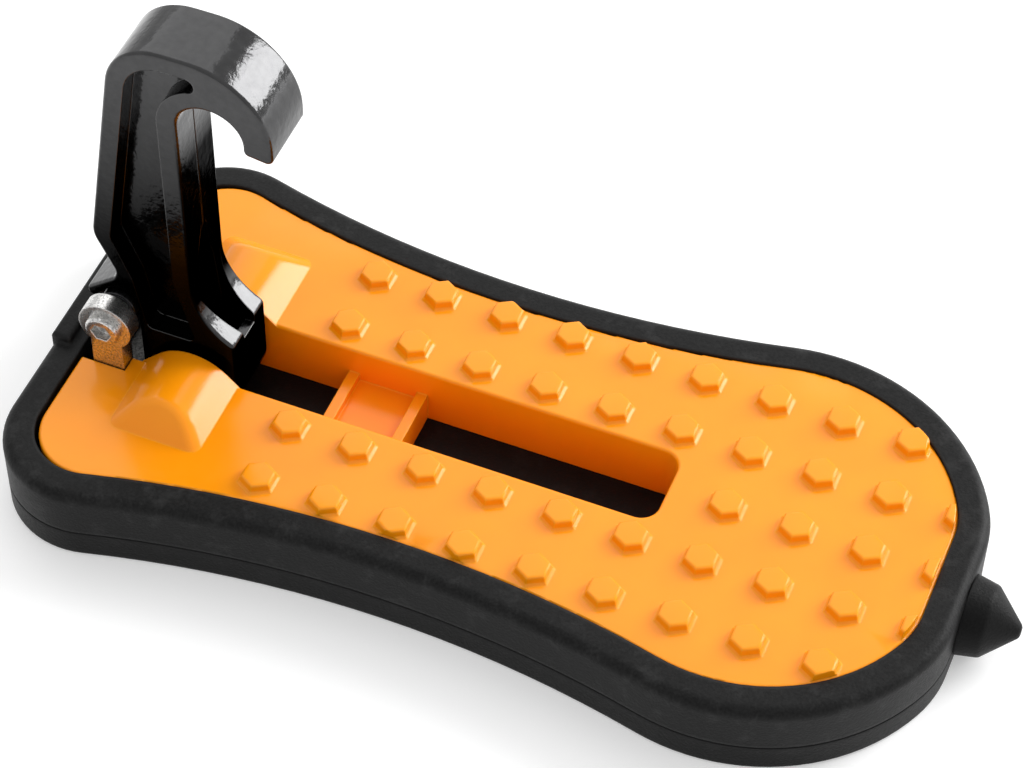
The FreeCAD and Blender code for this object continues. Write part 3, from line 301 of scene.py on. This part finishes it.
def black_matte():
    """Matte black casting skin of the hammer tip, sandy to the touch."""
    finish, tree, shader, place = start_finish("black_matte")
    sand = pits(tree, place, size=0.6 * MM)
    fine = grain(tree, place, size=0.4 * MM, detail=3.0, roughness=0.6)
    colour = shades(tree, fine, [(0.35, grey(0.002)), (0.7, grey(0.006))])
    eased, edge = edges(tree, radius=0.8 * MM)
    tree.links.new(wear_and_sheen(tree, colour, edge, edge_colour=grey(0.020)), shader.inputs["Base Color"])
    tree.links.new(spread(tree, fine, low=0.42, high=0.58), shader.inputs["Roughness"])
    shader.inputs["Specular IOR Level"].default_value = 0.12
    sandy = relief(tree, sand, strength=0.25, depth=0.15 * MM, under=eased)
    surface = relief(tree, fine, strength=0.35, depth=0.12 * MM, under=sandy)
    tree.links.new(surface, shader.inputs["Normal"])
    return finish


FINISHES = {
    "orange_coat": orange_coat(),
    "black_rubber": black_rubber(),
    "black_gloss": black_gloss(),
    "bright_steel": bare_steel("bright_steel", dark=grey(0.30), light=(0.78, 0.77, 0.75), rough=0.24),
    "plain_steel": bare_steel("plain_steel", dark=grey(0.03), light=(0.12, 0.12, 0.125), rough=0.30),
    "black_matte": black_matte(),
}


def dress_cad_nodes():
    """Give each CAD node its finish, and smooth shading that breaks at real edges."""
    for row in frame["record"]["subparts"]:
        node = nodes[row["node"]]
        node.data.materials.clear()
        node.data.materials.append(FINISHES[row["material_slot"]])
        node.data.polygons.foreach_set("use_smooth", np.ones(len(node.data.polygons), bool))
        weld = node.modifiers.new("join_triangles", "WELD")
        weld.merge_threshold = JOIN_REACH
        split = node.modifiers.new("real_edges", "EDGE_SPLIT")
        split.split_angle = CRISP_ANGLE
        split.use_edge_sharp = False


# Stage

def make_floor():
    """A wide pale floor under the step."""
    corners = [
        (-FLOOR_HALF, -FLOOR_HALF, 0.0),
        (FLOOR_HALF, -FLOOR_HALF, 0.0),
        (FLOOR_HALF, FLOOR_HALF, 0.0),
        (-FLOOR_HALF, FLOOR_HALF, 0.0),
    ]
    mesh = bpy.data.meshes.new("floor")
    mesh.from_pydata(corners, [], [(0, 1, 2, 3)])
    floor = bpy.data.objects.new("floor", mesh)
    bpy.context.scene.collection.objects.link(floor)
    finish, tree, shader, _ = start_finish("pale_floor")
    shader.inputs["Base Color"].default_value = (*grey(0.80), 1.0)
    shader.inputs["Roughness"].default_value = 0.9
    shader.inputs["Specular IOR Level"].default_value = 0.1
    shader.inputs["Emission Color"].default_value = (*WHITE, 1.0)
    rays = tree.nodes.new("ShaderNodeLightPath").outputs
    seen = greater(tree, rays["Is Camera Ray"], rays["Is Glossy Ray"])
    tree.links.new(remap(tree, seen, 0.0, 1.0, to_high=FLOOR_GLOW), shader.inputs["Emission Strength"])
    mesh.materials.append(finish)


def soft_box(name, place, target, width, depth, power):
    """A rectangular soft light at place, aimed at target."""
    lamp = bpy.data.lights.new(name, "AREA")
    lamp.shape = "RECTANGLE"
    lamp.size = width
    lamp.size_y = depth
    lamp.energy = power
    light = bpy.data.objects.new(name, lamp)
    aim = (Vector(target) - Vector(place)).to_track_quat("-Z", "Y")
    light.matrix_world = Matrix.Translation(place) @ aim.to_matrix().to_4x4()
    bpy.context.scene.collection.objects.link(light)


def make_light():
    """White surroundings, dimmer on the camera's side, and two soft boxes behind the step."""
    world = bpy.data.worlds.new("studio")
    world.use_nodes = True
    tree = world.node_tree
    backdrop = tree.nodes["Background"]
    backdrop.inputs["Color"].default_value = (*WHITE, 1.0)
    toward = tree.nodes.new("ShaderNodeTexCoord").outputs["Generated"]
    level = remap(tree, component(tree, toward, "Y"), -1.0, 1.0, to_low=0.70, to_high=0.98)
    tree.links.new(level, backdrop.inputs["Strength"])
    bpy.context.scene.world = world
    soft_box("key_box", place=(0.56, 0.58, 0.42), target=(-0.03, 0.0, 0.03),
             width=0.36, depth=0.62, power=7.4)
    soft_box("back_panel", place=(-0.38, 0.60, 0.78), target=(-0.02, 0.0, 0.03),
             width=0.9, depth=0.9, power=2.2)


def make_camera():
    """The photograph's view: position and axes found from the square grid of studs."""
    place = Vector((0.14622, -0.37440, 0.51123))
    right = Vector((0.92631, 0.37657, 0.01205)).normalized()
    forward = Vector((-0.23428, 0.60076, -0.76433)).normalized()
    up = right.cross(forward)
    turn = Matrix((right, up, -forward)).transposed().to_4x4()
    lens = bpy.data.cameras.new("camera")
    lens.lens = 110.3
    lens.sensor_fit = "HORIZONTAL"
    lens.sensor_width = 36.0
    lens.clip_start = 0.01
    camera = bpy.data.objects.new("camera", lens)
    camera.matrix_world = Matrix.Translation(place) @ turn
    bpy.context.scene.collection.objects.link(camera)
    bpy.context.scene.camera = camera


dress_cad_nodes()
make_floor()
make_light()
make_camera()
bpy.context.scene.view_settings.view_transform = "Standard"
